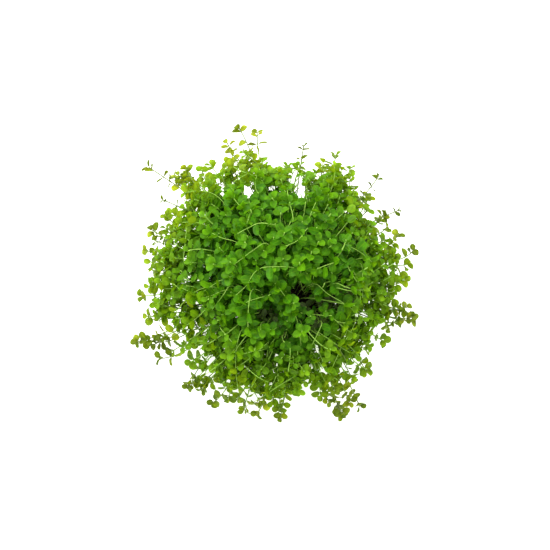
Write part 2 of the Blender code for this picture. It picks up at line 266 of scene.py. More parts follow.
# Colours that run from dark to light leaves, from a stem's foot to its tip and from dark to light crumbs
# and roots, each with its place in the ramp.
INNER_GREENS = (
    (0.0, (0.040, 0.188, 0.003)), (0.35, (0.055, 0.236, 0.003)),
    (0.75, (0.074, 0.280, 0.003)), (1.0, (0.115, 0.340, 0.004)),
)
# Outer greens, for the rim's leaves, are paler than the inner ones: painted light from behind at the rim,
# painted shade in the middle.
OUTER_GREENS = ((0.0, (0.108, 0.218, 0.004)), (0.5, (0.202, 0.342, 0.005)), (1.0, (0.385, 0.520, 0.030)))
OLIVE_GREENS = ((0.0, (0.050, 0.086, 0.005)), (0.55, (0.088, 0.138, 0.006)), (1.0, (0.310, 0.405, 0.026)))
STEM_GREENS = (
    (0.0, (0.090, 0.100, 0.024)), (0.22, (0.170, 0.290, 0.040)),
    (0.5, (0.310, 0.560, 0.075)), (1.0, (0.390, 0.690, 0.100)),
)
MEDIUM_BROWNS = (
    (0.25, (0.006, 0.004, 0.003)), (0.5, (0.020, 0.013, 0.008)),
    (0.66, (0.045, 0.027, 0.014)), (0.8, (0.085, 0.055, 0.030)),
)
ROOT_BROWNS = ((0.35, (0.16, 0.11, 0.06)), (0.65, (0.50, 0.43, 0.30)))
# Colours that the others are tinted with, and what the light through a leaf is multiplied by.
YOUNG_LEAF = (0.17, 0.46, 0.006)
# The shaded leaf colour is the tint of painted shade.
SHADED_LEAF = (0.018, 0.124, 0.006)
OLD_LEAF = (0.120, 0.125, 0.065)
LEAF_LINES = (0.22, 0.45, 0.015)
LEAF_GLOW = (1.9, 1.35, 0.5)
BROWN_STEM = (0.130, 0.165, 0.040)
DULL_STEM = (0.20, 0.24, 0.06)
STEM_STREAKS = (0.40, 0.66, 0.12)
MEDIUM_SPECKS = (0.16, 0.12, 0.07)

# The stage: half the floor's width, its colour and glow, and each light's name, place, size and power.
FLOOR_REACH = 3.0
FLOOR_COLOUR = (0.8, 0.8, 0.8)
# The floor's glow is painted light: it keeps the floor white where the plant shades it, lights the leaves
# from below, and its yellow-green tint stands in for light come through the leaves.
FLOOR_GLOW = (0.83, 0.88, 0.74, 1)
LIGHTS = (("key", (-0.62, 0.55, 1.35), 0.7, 22.0), ("fill", (0.7, -0.6, 1.3), 1.2, 6.0))


def turned(bearing, radius, height):
    """A point at this bearing in radians and this radius from the plug's axis."""
    return Vector((radius * math.cos(bearing), radius * math.sin(bearing), height))


def bezier(points, count):
    """Points along the cubic curve that has these four control points."""
    a, b, c, d = points
    curve = []
    for i in range(count + 1):
        t = i / count
        s = 1 - t
        curve.append(a * s**3 + b * (3 * s * s * t) + c * (3 * s * t * t) + d * t**3)
    return curve


def course_of(base, tip, lift, rise, sway):
    """The line of a stem that leaves the plug at its rise, arches over, and ends at its lift."""
    flat = Vector((tip.x - base.x, tip.y - base.y, 0)).normalized()
    side = Vector((-flat.y, flat.x, 0))
    start = flat * math.cos(rise) + UP * math.sin(rise)
    end = (flat * math.cos(lift) + side * sway + UP * math.sin(lift)).normalized()
    span = (tip - base).length
    controls = (base, base + start * span * START_PULL, tip - end * span * TIP_PULL, tip)
    return bezier(controls, COURSE_POINTS)


def is_clear_of(course, others):
    """Whether a course stays a stem's spacing away from the others, at every second point."""
    return all((p - q).length > STEM_SPACING for other in others for p in course[::2] for q in other[::2])


def stem_tips(group):
    """Each tip of a group and its lift in radians, with the tip at a whole number of millimetres."""
    tips = []
    for px, py, height, lift in CROWN_TIPS if group == "crown" else TRAILING_TIPS:
        if group == "trailing":
            height = round(TRAILING_LEVEL + TRAILING_SPREAD * (height - TRAILING_LEVEL))
        spot = sight(px, py, height * MM)
        tips.append((Vector((round(spot.x / MM), round(spot.y / MM), height)) * MM, math.radians(lift)))
    return tips


def grow_courses():
    """One line for each stem, crown first. A stem that would touch another starts a little to one side."""
    draw = random.Random(SEED)
    courses = []
    for group in ("crown", "trailing"):
        for number, (tip, lift) in enumerate(stem_tips(group), 1):
            bearing = math.atan2(tip.y, tip.x) + draw.uniform(-0.2, 0.2)
            radius = draw.uniform(*FOOT_RADII[group]) * MM
            rise = math.radians(draw.uniform(*FOOT_RISES[group]))
            sway = draw.uniform(-0.3, 0.3)
            for step in range(START_TRIES):
                swing = START_STEP * ((step + 1) // 2) * (-1) ** step
                base = turned(bearing + swing, radius, PLUG_HEIGHT + CLEARANCE)
                course = course_of(base, tip, lift, rise, sway + SWAY_STEP * step)
                if is_clear_of(course, [other for _, other in courses]):
                    break
            courses.append((f"{group}_shoot_{number:02d}", course))
    return courses


def unit(v):
    return v / max(float(np.linalg.norm(v)), 1e-9)


def clamped(value):
    return max(0.0, min(1.0, value))


def half_width(t):
    """A leaf's half-width at a share of its length, as a share of its greatest: a petiole, then an oval."""
    widest, petiole, narrow = 0.54, 0.07, 0.12
    if t >= widest:
        return math.sqrt(max(0.0, 1 - ((t - widest) / (1 - widest)) ** 2.2))
    if t <= petiole:
        return narrow
    return max(narrow, math.sqrt(1 - ((widest - t) / (widest - petiole)) ** 1.9))


class Blade:
    """The pattern of one leaf: rows of points from its petiole to its tip, and the faces between them."""

    rows = (0.0, 0.07, 0.13, 0.25, 0.42, 0.61, 0.80, 0.94)
    columns = (-1.0, 0.0, 1.0)

    def __init__(self):
        along = [t for t in self.rows for _ in self.columns] + [1.0]
        across = [v for _ in self.rows for v in self.columns] + [0.0]
        self.along = np.array(along)
        self.across = np.array(across)
        self.width = np.array([half_width(t) for t in along])
        wide = len(self.columns)
        last = (len(self.rows) - 1) * wide
        corners = [row + c for row in range(0, last, wide) for c in range(wide - 1)]
        self.quads = np.array([(k, k + 1, k + wide + 1, k + wide) for k in corners])
        self.triangles = np.array([(last + c, last + c + 1, last + wide) for c in range(wide - 1)])

    def place(self, root, forward, normal, length, breadth, fold, droop, wave):
        """The leaf's points, from its root along forward, with its upper face towards normal."""
        side = np.cross(forward, normal)
        t, v = self.along, self.across
        x = v * self.width * length * breadth * 0.5
        z = np.abs(v) * self.width * fold * length
        z = z - droop * length * t * t + wave * length * np.sin(2.6 * np.pi * t) * v * self.width
        return root + np.outer(t * length, forward) + np.outer(x, side) + np.outer(z, normal)


BLADE = Blade()


class Foliage:
    """Leaves and stems gathered into one mesh, with what the materials read from each point.

    The entries of quads and triangles hold faces, their material, the number of their leaf or stem, and where
    their corners lie in its part of the flat map.
    """

    leaf_slot, stem_slot = 0, 1

    def __init__(self):
        self.count, self.leaves, self.stems = 0, 0, 0
        self.points, self.places, self.tones = [], [], []
        self.quads, self.triangles = [], []

    def add(self, points, place, tone):
        self.points.append(points)
        self.places.append(place)
        self.tones.append(np.tile(tone, (len(points), 1)))
        self.count += len(points)

    def add_leaf(self, points, tone):
        start = self.count
        place = np.column_stack((BLADE.along, BLADE.across, np.full(len(points), outwardness(points[0]))))
        self.add(points, place, tone)
        flat = np.column_stack((0.5 + 0.46 * BLADE.across * BLADE.width, 0.04 + 0.92 * BLADE.along))
        for kind, faces in ((self.quads, BLADE.quads), (self.triangles, BLADE.triangles)):
            kind.append((faces + start, self.leaf_slot, self.leaves, flat[faces]))
        self.leaves += 1

    def add_stem(self, centres, radii, tone):
        """A tube through these centres, closed at its far end by a point."""
        start = self.count
        ring = len(centres)
        across = unit(np.cross(centres[1] - centres[0], (0.3, 0.2, 0.9)))
        points = []
        for i, centre in enumerate(centres):
            ahead = unit(centres[min(i + 1, ring - 1)] - centres[max(i - 1, 0)])
            across = unit(across - ahead * across.dot(ahead))
            over = np.cross(ahead, across)
            for k in range(STEM_SIDES):
                angle = 2 * math.pi * k / STEM_SIDES
                points.append(centre + radii[i] * (across * math.cos(angle) + over * math.sin(angle)))
        points.append(centres[-1] + unit(centres[-1] - centres[-2]) * radii[-1])
        share = np.append(np.repeat(np.arange(ring) / (ring - 1), STEM_SIDES), 1.0)
        outward = np.array([outwardness(centre) for centre in centres])
        outward = np.append(np.repeat(outward, STEM_SIDES), outward[-1])
        place = np.column_stack((share, np.zeros(len(share)), outward))
        self.add(np.array(points), place, tone)
        quads, quad_map, caps, cap_map = [], [], [], []
        for i in range(ring):
            low, high = i * STEM_SIDES, (i + 1) * STEM_SIDES
            u0, u1 = i / ring, (i + 1) / ring
            for k in range(STEM_SIDES):
                after = (k + 1) % STEM_SIDES
                v0, v1 = k / STEM_SIDES, (k + 1) / STEM_SIDES
                if i < ring - 1:
                    quads.append((low + k, low + after, high + after, high + k))
                    quad_map.append(((u0, v0), (u0, v1), (u1, v1), (u1, v0)))
                else:
                    caps.append((low + k, low + after, high))
                    cap_map.append(((u0, v0), (u0, v1), (1.0, (k + 0.5) / STEM_SIDES)))
        self.quads.append((np.array(quads) + start, self.stem_slot, self.stems, quad_map))
        self.triangles.append((np.array(caps) + start, self.stem_slot, self.stems, cap_map))
        self.stems += 1

    def faces(self):
        """All faces, quads first."""
        return [face for faces, *_ in self.quads + self.triangles for face in faces.tolist()]

    def layout(self):
        """Each face's place in a map where every leaf has a cell of its own and every stem a strip."""
        side = max(1, math.ceil(math.sqrt(self.leaves)))
        strip = 0.12 / max(1, self.stems)
        placed = []
        for _, slot, number, corners in self.quads + self.triangles:
            corners = np.array(corners, float)
            if slot == self.leaf_slot:
                column, row = number % side, number // side
                corners[..., 0] = (column + corners[..., 0]) / side
                corners[..., 1] = 0.13 + 0.87 * (row + corners[..., 1]) / side
            else:
                corners[..., 0] = 0.005 + 0.99 * corners[..., 0]
                corners[..., 1] = strip * (number + 0.1 + 0.8 * corners[..., 1])
            placed.append(corners.reshape(-1, 2))
        return np.vstack(placed)

    def build(self, name, materials):
        mesh = bpy.data.meshes.new(name)
        mesh.from_pydata(np.vstack(self.points).tolist(), [], self.faces())
        mesh.update()
        for key, values in (("place", self.places), ("tone", self.tones)):
            made = mesh.attributes.new(key, "FLOAT_VECTOR", "POINT")
            made.data.foreach_set("vector", np.vstack(values).astype(np.float32).ravel())
        layer = mesh.uv_layers.new(name="OFBake")
        layer.data.foreach_set("uv", self.layout().astype(np.float32).ravel())
        slots = np.concatenate([np.full(len(part[0]), part[1]) for part in self.quads + self.triangles])
        mesh.polygons.foreach_set("material_index", slots.astype(np.int32))
        mesh.polygons.foreach_set("use_smooth", np.ones(len(slots), bool))
        for material in materials:
            mesh.materials.append(material)
        return add_object(name, mesh)


class Spacing:
    """Remembers where the middles of leaves are, so that later ones can keep away from them."""

    def __init__(self, gap):
        self.gap = gap
        self.cells = {}

    def key(self, point):
        return tuple(int(math.floor(c / self.gap)) for c in point)

    def is_free(self, point, gap):
        a, b, c = self.key(point)
        for i in (-1, 0, 1):
            for j in (-1, 0, 1):
                for k in (-1, 0, 1):
                    for other in self.cells.get((a + i, b + j, c + k), ()):
                        if np.linalg.norm(point - other) < gap:
                            return False
        return True

    def take(self, point):
        self.cells.setdefault(self.key(point), []).append(point)


TAKEN = Spacing(LEAF_SPACING)


def in_photo(point):
    """Where the photograph shows a point, in its pixels."""
    away = Vector(point) - EYE
    scale = -away.dot(BACKWARD) * PIXEL
    return PHOTO_MIDDLE + away.x / scale, PHOTO_MIDDLE - away.dot(UPWARD) / scale


def sight(px, py, height):
    """The point at this height that the photograph shows at this pixel."""
    ray = UPWARD * ((PHOTO_MIDDLE - py) * PIXEL) - BACKWARD
    ray.x = (px - PHOTO_MIDDLE) * PIXEL
    return EYE + ray * ((height - EYE.z) / ray.z)


def is_before(point, spots, margin):
    """Whether the photograph shows a point before one of these ellipses or the margin round it."""
    px, py = in_photo(point)
    return any(((px - x) / (w + margin)) ** 2 + ((py - y) / (h + margin)) ** 2 < 1 for x, y, w, h in spots)


def over_bare_patch(point, margin=0.0):
    """Whether a point hides part of the bare medium."""
    return is_before(point, BARE_PATCHES, margin)


def over_opening(point, margin=0.0):
    """Whether a point hides part of the floor that shows through the foliage."""
    return is_before(point, OPENINGS, margin)


def over_dark_gap(point, margin=0.0):
    """Whether a point near the canopy's top hides the shade below it."""
    near_top = canopy_height(point[0], point[1]) - point[2] < GAP_DEPTH
    return near_top and is_before(point, DARK_GAPS, margin)


def beyond_body(point, margin=0.0):
    """Whether the photograph shows a point outside the dense foliage. Unlike the others it has no margin."""
    px, py = in_photo(point)
    inside = False
    for (x0, y0), (x1, y1) in zip(BODY_OUTLINE, BODY_OUTLINE[1:] + BODY_OUTLINE[:1]):
        if (y0 > py) != (y1 > py) and px < x0 + (x1 - x0) * (py - y0) / (y1 - y0):
            inside = not inside
    return not inside


KEPT_OPEN = (over_bare_patch, over_opening, over_dark_gap)


def canopy_reaches():
    """How far the canopy reaches from its middle at every 15 degrees, as means over five bearings."""
    rim = []
    for px, py in BODY_OUTLINE:
        slope = math.atan2(PHOTO_MIDDLE - py, px - PHOTO_MIDDLE)
        away = sight(px, py, CANOPY_RIM + CANOPY_RIM_TILT * math.sin(slope)) - CANOPY_MIDDLE
        rim.append((math.degrees(math.atan2(away.y, away.x)) % 360, away.to_2d().length))
    bearings, lengths = zip(*sorted(rim))
    reaches = np.interp(np.arange(120) * 3 - 6, bearings, lengths, period=360).reshape(24, 5).mean(axis=1)
    return [float(reach) + CANOPY_OVERHANG for reach in reaches]


CANOPY_REACHES = canopy_reaches()


def canopy_reach(bearing):
    """How far the canopy reaches from its middle on this bearing in radians."""
    at = math.degrees(bearing) % 360 / 15
    low = int(at) % 24
    return CANOPY_REACHES[low] * (1 - at % 1) + CANOPY_REACHES[(low + 1) % 24] * (at % 1)


def canopy_height(x, y, hollow=True):
    """The height of the canopy's top over this point, with or without its hollow."""
    x, y = x - CANOPY_MIDDLE.x, y - CANOPY_MIDDLE.y
    bearing = math.atan2(y, x)
    share = min(1.0, math.hypot(x, y) / canopy_reach(bearing))
    rim = CANOPY_RIM + CANOPY_RIM_TILT * math.sin(bearing)
    height = rim + (CANOPY_TOP - rim) * (1 - share**2) ** CANOPY_FALL
    if hollow:
        dx = x + CANOPY_MIDDLE.x - HOLLOW_MIDDLE.x
        dy = y + CANOPY_MIDDLE.y - HOLLOW_MIDDLE.y
        height -= HOLLOW_DEPTH * math.exp(-(dx * dx + dy * dy) / HOLLOW_WIDTH**2)
    return height


def depth_shade(point):
    """Painted shade for a point's depth under the canopy's dome, from 0 to 1. Light from all sides reaches
    the rim.
    """
    deep = clamped((canopy_height(point[0], point[1], False) - point[2] - 3 * MM) / (30 * MM))
    return deep * (1 - 0.75 * clamped((outwardness(point) - 0.5) / 0.4))


def sunniness(point):
    """How much more painted light than the canopy's middle a point gets, from -0.05 to 1 at the sunny rim."""
    bearing = math.atan2(point[1] - CANOPY_MIDDLE.y, point[0] - CANOPY_MIDDLE.x)
    facing = max(0.0, math.cos(bearing - SUNNY_BEARING)) ** 2
    return (1.05 * facing - 0.05) * clamped((outwardness(point) - 0.35) / 0.45)


def outwardness(point):
    """How far out a point is, from 0 at the canopy's middle to 1 at its rim."""
    x, y = point[0] - CANOPY_MIDDLE.x, point[1] - CANOPY_MIDDLE.y
    return min(1.2, math.hypot(x, y) / canopy_reach(math.atan2(y, x)))


def seen_at(px, py, rise):
    """The point that the photograph shows at this pixel, this far above the canopy."""
    height = 60 * MM
    for _ in range(8):
        point = sight(px, py, height)
        height = 0.5 * height + 0.5 * (canopy_height(point.x, point.y) + rise)
    return sight(px, py, height)


class Line:
    """A stem's line as points with their distances, for placing leaves from the tip downwards."""

    def __init__(self, course):
        self.points = np.array([tuple(p) for p in course])
        steps = np.linalg.norm(np.diff(self.points, axis=0), axis=1)
        self.lengths = np.concatenate(([0.0], np.cumsum(steps)))
        self.length = float(self.lengths[-1])
        self.across = unit(np.cross(self.points[1] - self.points[0], (0.31, 0.22, 0.92)))

    def at(self, place):
        return np.array([np.interp(place, self.lengths, self.points[:, i]) for i in range(3)])

    def ahead(self, place):
        return unit(self.at(min(self.length, place + MM)) - self.at(max(0.0, place - MM)))


def leaf_stand(out, ahead, tilt, turn, draw):
    """A leaf's direction and the way its upper face looks: set by the stem, then turned to the light."""
    forward = out * math.cos(tilt) + ahead * math.sin(tilt)
    normal = ahead * math.cos(tilt) - out * math.sin(tilt)
    forward = unit(forward - np.array((0, 0, 1.0)) * forward[2] * turn * 0.55)
    normal = unit(normal - forward * normal.dot(forward))
    light = np.array((0, 0, 1.0))
    light = light - forward * light.dot(forward)
    if np.linalg.norm(light) > 0.15:
        normal = unit(normal * (1 - turn) + unit(light) * turn)
    wobble = np.array([draw.gauss(0, 0.34) for _ in range(3)])
    normal = unit(normal + wobble)
    normal = unit(normal - forward * normal.dot(forward))
    return forward, normal


def pair_places(line, stretch, bare, most, draw):
    """The number of each pair of leaves, counted from the tip, and its place on the line."""
    pairs = []
    for number, distance in enumerate(NODE_DISTANCES[:most]):
        place = line.length - distance * MM * (stretch if number > 1 else 1.0) * draw.uniform(0.94, 1.06)
        if place > bare:
            pairs.append((number, place))
    return pairs


def stem_rings(line, radius, pairs):
    """Centres and radii of a stem's rings, thinner towards the tip and swollen where leaves grow."""
    places = np.linspace(0, line.length, max(6, int(line.length / STEM_STEP)))
    radii = STEM_RADIUS * radius * (1 - 0.3 * places / line.length)
    for _, place in pairs:
        radii = radii * (1 + NODE_SWELL * np.exp(-(((places - place) / (0.8 * MM)) ** 2)))
    return np.array([line.at(p) for p in places]), radii


def leaf_tone(middle, youth, tone, far_out, shade, draw):
    """A leaf's place between dark and light, with painted light on the sunny side, its youth and painted
    shade.
    """
    chance = 0.5 + 0.7 * (1 - 0.5 * far_out) * (tone - 0.5)
    # Painted light: leaves on the sunny side are pushed towards the paler greens.
    chance += 0.45 * (draw.random() - 0.5) + 0.46 * sunniness(middle)
    return clamped(chance), clamped(youth), depth_shade(middle) if shade is None else shade


def dress(
    foliage, course, draw, size=1.0, radius=1.0, turn=(0.0, 0.75), bare=0.0, most=10, close=1.0,
    keep_open=(), spared=0, shade=None, tone=None, brown=0.0,
):
    """Adds a stem on this course with its leaf pairs, each pair at right angles to the last.

    No pair grows on the bare length at the stem's foot, and no leaf's middle lies near the places that
    keep_open tests for, except in the spared pairs at the tip. Where no painted shade is given, it comes
    from the depth below the canopy, and where no tone is given, it is drawn. Brown is the stem's share of
    that colour.
    """
    line = Line(course)
    stretch = draw.uniform(0.88, 1.18) * close
    swing = draw.uniform(0, math.pi)
    youth_of_shoot = draw.random()
    tone_of_shoot = draw.random() if tone is None else tone
    pairs = pair_places(line, stretch, bare, most, draw)
    centres, radii = stem_rings(line, radius, pairs)
    foliage.add_stem(centres, radii, (draw.random(), youth_of_shoot, brown))
    for number, place in pairs:
        centre, ahead = line.at(place), line.ahead(place)
        across = unit(line.across - ahead * line.across.dot(ahead))
        over = np.cross(ahead, across)
        angle = swing + math.pi / 2 * number + draw.gauss(0, 0.12)
        axis = across * math.cos(angle) + over * math.sin(angle)
        share = NODE_SIZES[number] * size * draw.uniform(0.9, 1.1)
        far_out = min(1.0, outwardness(centre)) ** 2
        share *= 1 - (1 - RIM_LEAF_SIZE) * far_out
        breadth = LEAF_BREADTH * (1 - (1 - RIM_LEAF_BREADTH) * far_out)
        for out in (axis, -axis):
            tilt = math.radians(NODE_TILTS[number] + draw.gauss(0, 8))
            forward, normal = leaf_stand(out, ahead, tilt, draw.uniform(*turn) * (1 - 0.4 * far_out), draw)
            length = LEAF_LENGTH * share * draw.uniform(0.92, 1.08)
            middle = centre + forward * length * 0.55
            if number >= spared and any(test(middle, LEAF_CLEARANCE) for test in keep_open):
                continue
            if number > 1 and not TAKEN.is_free(middle, LEAF_SPACING * min(1.0, share)):
                continue
            if middle[2] - 0.5 * length < FLOOR_CLEARANCE:
                continue
            TAKEN.take(middle)
            fold = draw.uniform(0.0, 0.16) + (0.1 if number < 2 else 0)
            wide = breadth * draw.uniform(0.86, 1.16)
            droop, wave = draw.uniform(-0.04, 0.22), draw.uniform(-0.06, 0.06)
            root = centre + out * radii[-1] * 0.5
            points = BLADE.place(root, forward, normal, length, wide, fold, droop, wave)
            youth = NODE_YOUTH[min(number, 3)] * (0.5 + 0.9 * youth_of_shoot)
            foliage.add_leaf(points, leaf_tone(middle, youth, tone_of_shoot, far_out, shade, draw))


def side_course(line, place, draw, reach):
    """A side shoot's line from the main stem, leaving it in an axil and turning up to the light."""
    start, ahead = line.at(place), line.ahead(place)
    out = unit(np.cross(ahead, (draw.gauss(0, 1), draw.gauss(0, 1), draw.gauss(0, 1))))
    out = unit(out * 0.8 + ahead * 0.7 + np.array((0, 0, 0.35)))
    end = unit(out + np.array((0, 0, 0.7)))
    a = Vector(start)
    d = Vector(start + out * reach * 0.6 + end * reach * 0.45)
    b = a + Vector(out) * reach * 0.4
    c = d - Vector(end) * reach * 0.3
    return bezier((a, b, c, d), 24)


def undergrowth_tips(draw):
    """Tips spread over the canopy, layer by layer, then along its outline: place, lift and how far out."""
    golden = math.pi * (3 - math.sqrt(5))
    tips = []
    for layer, (count, drop, vary, part) in enumerate(LAYERS):
        for i in range(count):
            share = math.sqrt((i + 0.5) / count) * draw.uniform(0.96, 1.04) * part
            bearing = golden * i + layer * 1.7 + draw.gauss(0, 0.08)
            spot = CANOPY_MIDDLE + turned(bearing, canopy_reach(bearing) * share, 0)
            height = canopy_height(spot.x, spot.y) - drop * (0.4 + 0.6 * (1 - share**2))
            spot.z = max(9 * MM, height + draw.uniform(-vary, vary) * (1 - 0.4 * share))
            lift = 80 - 52 * share + draw.gauss(0, 18)
            tips.append((spot, math.radians(max(0, min(88, lift))), share))
    middle = Vector((PHOTO_MIDDLE, PHOTO_MIDDLE))
    for (x0, y0), (x1, y1) in zip(BODY_OUTLINE, BODY_OUTLINE[1:] + BODY_OUTLINE[:1]):
        start, along = Vector((x0, y0)), Vector((x1 - x0, y1 - y0))
        for i in range(max(1, round(along.length / EDGE_STEP))):
            edge = start + along * ((i + draw.random()) * EDGE_STEP / along.length)
            inside = edge + (middle - edge).normalized() * draw.uniform(*EDGE_INSET)
            spot = seen_at(inside.x, inside.y, draw.uniform(-12, 2) * MM)
            tips.append((spot, math.radians(draw.uniform(0, 60)), 1.0))
    return tips


def smooth_line(points, count):
    """A smooth curve through these points."""
    points = [points[0] * 2 - points[1]] + list(points) + [points[-1] * 2 - points[-2]]
    curve = []
    for a, b, c, d in zip(points, points[1:], points[2:], points[3:]):
        for i in range(count):
            t = i / count
            square, cube = a * 2 - b * 5 + c * 4 - d, b * 3 - a - c * 3 + d
            curve.append((b * 2 + (c - a) * t + square * t * t + cube * t**3) * 0.5)
    curve.append(points[-2])
    return curve


def runner_course(points):
    """The line of a stem that rises from the plug, leaves the canopy at the last point, ends at the first."""
    points = list(reversed(points))
    first = points[0]
    bearing = math.atan2(first.y, first.x)
    base = turned(bearing, min(23 * MM, first.to_2d().length * 0.5), STEM_FOOT)
    inward = (base - first).to_2d().normalized() * 5 * MM
    dive = Vector((first.x + inward.x, first.y + inward.y, max(PLUG_HEIGHT + 3 * MM, first.z - 10 * MM)))
    return smooth_line([base, dive] + points, 12)


def runner_courses(draw):
    """Lines for the stems over the canopy: the ones seen in the photograph, then loose ones elsewhere."""
    courses = []
    for pixels in RUNNERS:
        rises = [2.5 * MM] + [2.0 * MM] * (len(pixels) - 2) + [-1.0 * MM]
        courses.append(runner_course([seen_at(px, py, rise) for (px, py), rise in zip(pixels, rises)]))
    for i in range(LOOSE_RUNNERS):
        share = 0.25 + 0.6 * math.sqrt(draw.random())
        bearing = 2 * math.pi * (i + draw.random()) / LOOSE_RUNNERS
        start = CANOPY_MIDDLE + turned(bearing, canopy_reach(bearing) * share, 0)
        heading = bearing + draw.gauss(0, 0.7)
        bend = draw.uniform(-0.5, 0.5)
        length = draw.uniform(14, 26) * MM
        points = []
        for k in range(4):
            turn = heading + bend * k / 3
            spot = start + turned(turn, length * k / 3, 0)
            rise = (-1.0, 2.0, 2.5, 2.5)[k] * MM
            points.append(Vector((spot.x, spot.y, canopy_height(spot.x, spot.y) + rise)))
        if not any(over_bare_patch(p, 2) or beyond_body(p) for p in points):
            courses.append(runner_course(list(reversed(points))))
    return courses


def adjust(made, **values):
    """Sets the sockets of a node that these keys name, with spaces for their underscores."""
    for key, value in values.items():
        made.inputs[key.replace("_", " ")].default_value = value


def node(tree, kind, **values):
    """A new shader node with these values on its sockets."""
    made = tree.nodes.new(kind)
    adjust(made, **values)
    return made


def maths(tree, operation, a, b=None, clamp=False):
    """A Math node on two values, each a socket or a number."""
    made = tree.nodes.new("ShaderNodeMath")
    made.operation = operation
    made.use_clamp = clamp
    for socket, value in zip(made.inputs, (a, b)):
        if value is None:
            continue
        if isinstance(value, (int, float)):
            socket.default_value = value
        else:
            tree.links.new(value, socket)
    return made.outputs[0]


def ramp(tree, value, stops):
    """A colour ramp with these (position, colour) stops on a value."""
    made = tree.nodes.new("ShaderNodeValToRGB")
    elements = made.color_ramp.elements
    while len(elements) < len(stops):
        elements.new(0.5)
    for element, (position, colour) in zip(elements, stops):
        element.position = position
        element.color = (*colour, 1)
    tree.links.new(value, made.inputs[0])
    return made.outputs[0]


def mixed(tree, share, a, b, blend="MIX"):
    """Two colours mixed, each a socket or a colour."""
    made = tree.nodes.new("ShaderNodeMix")
    made.data_type = "RGBA"
    made.blend_type = blend
    for socket, value in ((made.inputs[0], share), (made.inputs[6], a), (made.inputs[7], b)):
        if isinstance(value, (int, float)):
            socket.default_value = value
        elif isinstance(value, tuple):
            socket.default_value = (*value, 1)
        else:
            tree.links.new(value, socket)
    return made.outputs[2]


def tinted(tree, colour, share, most, tint):
    """A colour mixed with a tint, by a share from 0 to 1 of the most that there can be of it."""
    return mixed(tree, maths(tree, "MULTIPLY", share, most), colour, tint)


def attribute(tree, name):
    """The three numbers of a point attribute."""
    read = tree.nodes.new("ShaderNodeAttribute")
    read.attribute_name = name
    split = tree.nodes.new("ShaderNodeSeparateXYZ")
    tree.links.new(read.outputs["Vector"], split.inputs[0])
    return split.outputs


def grain(tree, kind="ShaderNodeTexNoise", **values):
    """A texture node on the object's own coordinates."""
    made = node(tree, kind, **values)
    coordinates = tree.nodes.new("ShaderNodeTexCoord")
    tree.links.new(coordinates.outputs["Object"], made.inputs["Vector"])
    return made.outputs


def ranged(tree, value, **values):
    """A value mapped from one range to another."""
    made = node(tree, "ShaderNodeMapRange", **values)
    tree.links.new(value, made.inputs["Value"])
    return made.outputs[0]


def emboss(tree, surface, height, strength, distance):
    """Gives a surface this relief."""
    bump = node(tree, "ShaderNodeBump", Strength=strength, Distance=distance)
    tree.links.new(height, bump.inputs["Height"])
    tree.links.new(bump.outputs[0], surface.inputs["Normal"])


def add_object(name, data):
    made = bpy.data.objects.new(name, data)
    bpy.context.scene.collection.objects.link(made)
    return made


def add_piece(name, points, faces, material, smooth=True):
    """A mesh object with one material."""
    mesh = bpy.data.meshes.new(name)
    mesh.from_pydata([tuple(p) for p in points], [], faces)
    if smooth:
        mesh.polygons.foreach_set("use_smooth", np.ones(len(faces), bool))
    mesh.materials.append(material)
    return add_object(name, mesh)


def new_material(name, colour, **values):
    """A material with its node tree and surface node, which has this colour and these values."""
    made = bpy.data.materials.new(name)
    made.use_nodes = True
    made.diffuse_color = (*colour, 1)
    surface = made.node_tree.nodes["Principled BSDF"]
    adjust(surface, Base_Color=(*colour, 1), **values)
    return made, made.node_tree, surface


